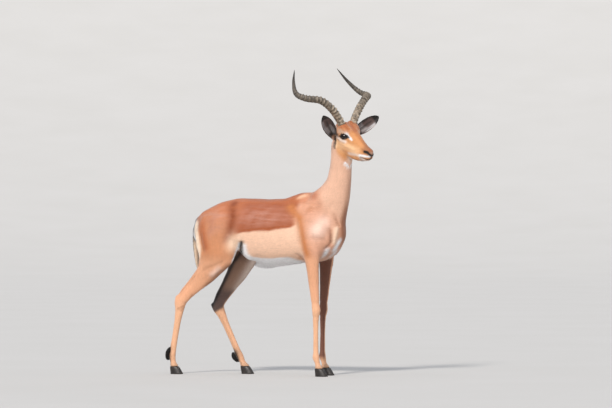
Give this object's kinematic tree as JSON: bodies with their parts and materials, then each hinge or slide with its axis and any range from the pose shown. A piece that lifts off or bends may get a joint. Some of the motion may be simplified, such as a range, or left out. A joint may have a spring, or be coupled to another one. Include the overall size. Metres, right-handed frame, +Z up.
{
  "type": "impala antelope",
  "caption": "Life-size standing impala ram with ringed, lyre-shaped horns, a rufous saddle, pale flanks and a white belly, its head turned to the right.",
  "frame": {"origin": "on the floor, under the middle of the whole model's box", "axes": "+X is forward along the back, +Y is the animal's left, +Z is up"},
  "size_m": [1.1022, 0.4544, 1.5002],
  "materials": {
    "coat": "short flat hair, rufous on the back, fawn on the flanks and white below",
    "ear_hair": "fawn hair outside, grey-white hair inside, black at the tip",
    "black_hair": "dense black hair tufts",
    "bare_skin": "dark moist skin of the nostrils, lips and eyelids",
    "eye": "wet dark brown",
    "horn": "grey-brown ringed keratin with smooth dark tips",
    "hoof": "dark worn keratin"
  },
  "bodies": {
    "root": {"trunk": "coat", "neck": "coat", "head": "coat", "tail": "coat", "foreleg_right": "coat", "foreleg_left": "coat", "hind_leg_right": "coat", "hind_leg_left": "coat", "ear_right": "ear_hair", "ear_left": "ear_hair", "eye_right": "eye", "eye_left": "eye", "horn_right": "horn", "horn_left": "horn", "gland_tuft_right": "black_hair", "gland_tuft_left": "black_hair", "hoof_foreleg_right_left_claw": "hoof", "hoof_foreleg_right_right_claw": "hoof", "hoof_foreleg_left_left_claw": "hoof", "hoof_foreleg_left_right_claw": "hoof", "hoof_hind_leg_right_left_claw": "hoof", "hoof_hind_leg_right_right_claw": "hoof", "hoof_hind_leg_left_left_claw": "hoof", "hoof_hind_leg_left_right_claw": "hoof"}
  },
  "joints": []
}
